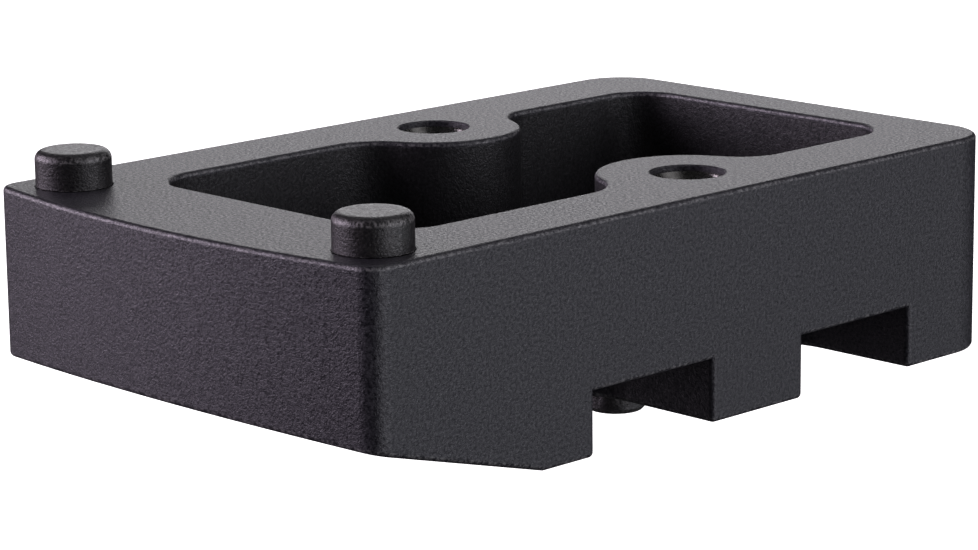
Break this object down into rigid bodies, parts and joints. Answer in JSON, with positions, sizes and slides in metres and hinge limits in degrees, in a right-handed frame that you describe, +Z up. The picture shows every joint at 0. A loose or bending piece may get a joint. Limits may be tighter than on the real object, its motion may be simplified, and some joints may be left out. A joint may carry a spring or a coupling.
{
  "type": "adapter mounting block",
  "caption": "Small black machined block that adapts a device with locating studs and threaded inserts to a notched seat, held by a hold-down screw in its pocket.",
  "frame": {"origin": "middle of the seat, the plane of the ribs' undersides, on the centreline", "axes": "+X the block's right side, -Y its curved front with the studs, +Z up out of the pocket"},
  "size_m": [0.024, 0.0398, 0.0143],
  "materials": {
    "anodised_block": "bead-blasted, hard anodised black",
    "black_steel": "turned and black oxide coated",
    "insert_steel": "oiled steel thread insert",
    "washer_steel": "black oxide, lightly worn"
  },
  "bodies": {
    "block": {"block_body": "anodised_block", "locating_stud_left": "black_steel", "locating_stud_right": "black_steel", "thread_insert_left": "insert_steel", "thread_insert_right": "insert_steel", "plain_washer": "washer_steel"},
    "spring_washer": {"lock_washer": "washer_steel"},
    "screw": {"hold_down_screw": "black_steel"}
  },
  "joints": [
    {"name": "screw_lift", "type": "slide", "parent": "block", "child": "spring_washer", "axis": [0, 0, 1], "range_m": [0, 0.003]},
    {"name": "screw_turn", "type": "hinge", "parent": "spring_washer", "child": "screw", "pos_m": [0, 0.00649, 0.0049], "axis": [0, 0, 1], "continuous": true}
  ]
}
